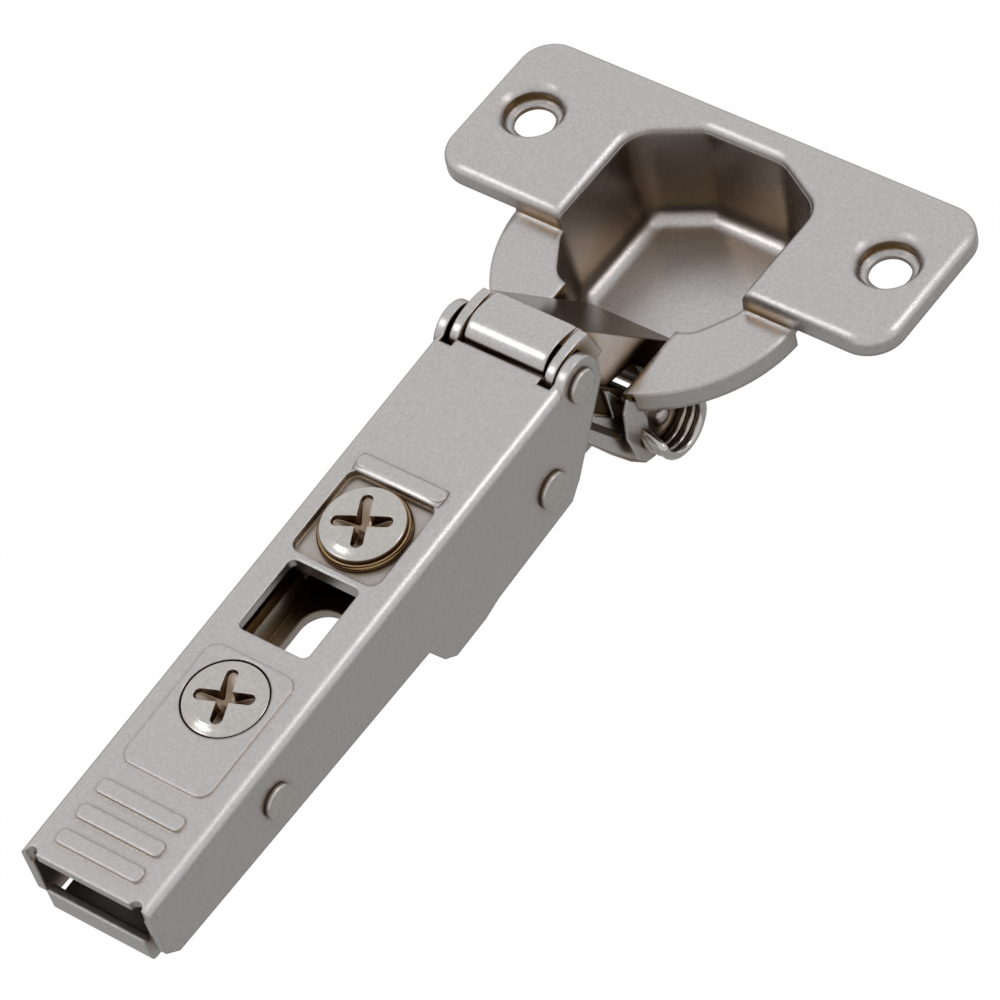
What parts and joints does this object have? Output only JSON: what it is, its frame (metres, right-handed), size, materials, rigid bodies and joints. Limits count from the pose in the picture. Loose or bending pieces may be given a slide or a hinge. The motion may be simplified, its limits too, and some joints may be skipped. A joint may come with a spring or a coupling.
{
  "type": "concealed cabinet hinge",
  "caption": "Concealed cabinet door hinge with a screw-on cup, two links and a clip-on arm with two adjusting screws, shown open.",
  "frame": {"origin": "middle of the cup's 35 mm circle on the door's inner face, which is the underside of the flange", "axes": "+Z out of the door's inner face, +X away from the arm, +Y along the row of the two door screws"},
  "size_m": [0.1131, 0.057, 0.0248],
  "materials": {
    "plated_steel": "satin nickel plate",
    "pin_steel": "smooth plated steel",
    "screw_steel": "plated steel, driven faces a little duller",
    "spring_steel": "drawn spring wire"
  },
  "bodies": {
    "cup": {"cup_shell": "plated_steel", "outer_link_cup_pin": "pin_steel", "inner_link_cup_pin": "pin_steel", "closing_spring": "spring_steel"},
    "outer_link": {"outer_link": "plated_steel"},
    "inner_link": {"inner_link": "plated_steel"},
    "arm": {"arm_channel": "plated_steel", "front_pin": "pin_steel", "second_pin": "pin_steel", "rear_pin": "pin_steel", "side_screw_bush": "screw_steel"},
    "seat": {"sliding_seat": "plated_steel"},
    "depth_screw": {"depth_adjusting_screw": "screw_steel"},
    "side_screw": {"side_adjusting_screw": "screw_steel"},
    "lever": {"clip_lever": "plated_steel", "clip_spring": "spring_steel"}
  },
  "joints": [
    {"name": "outer_link_pivot", "type": "hinge", "parent": "cup", "child": "outer_link", "pos_m": [-0.0093, 0, -0.0069], "axis": [0, 1, 0], "range_deg": [0, 120.2]},
    {"name": "inner_link_pivot", "type": "hinge", "parent": "cup", "child": "inner_link", "pos_m": [-0.0123, 0, -0.0071], "axis": [0, 1, 0], "range_deg": [0, 122.7]},
    {"name": "arm_pivot", "type": "hinge", "parent": "outer_link", "child": "arm", "pos_m": [-0.0225, 0, 0.0083], "axis": [0, -1, 0], "range_deg": [0, 26.5]},
    {"name": "seat_slide", "type": "slide", "parent": "arm", "child": "seat", "axis": [0.9978, 0, 0.0663], "range_m": [-0.00145, 0.00145]},
    {"name": "depth_screw_turn", "type": "hinge", "parent": "arm", "child": "depth_screw", "pos_m": [-0.07064, 0, 0.00731], "axis": [-0.0663, 0, 0.9978], "range_deg": [-60, 60]},
    {"name": "side_screw_turn", "type": "hinge", "parent": "arm", "child": "side_screw", "pos_m": [-0.04779, 0, 0.00882], "axis": [-0.0663, 0, 0.9978], "range_deg": [-180, 180]},
    {"name": "clip_lever_pivot", "type": "hinge", "parent": "arm", "child": "lever", "pos_m": [-0.07475, 0, 0.00132], "axis": [0, 1, 0], "range_deg": [0, 8], "stiffness_Nm_per_rad": 0.8}
  ],
  "couplings": [
    {"joint": "inner_link_pivot", "follows": "outer_link_pivot", "ratio": 1.0201},
    {"joint": "arm_pivot", "follows": "outer_link_pivot", "ratio": 0.21954},
    {"joint": "depth_screw_turn", "follows": "seat_slide", "rad_per_m": 714.29}
  ]
}
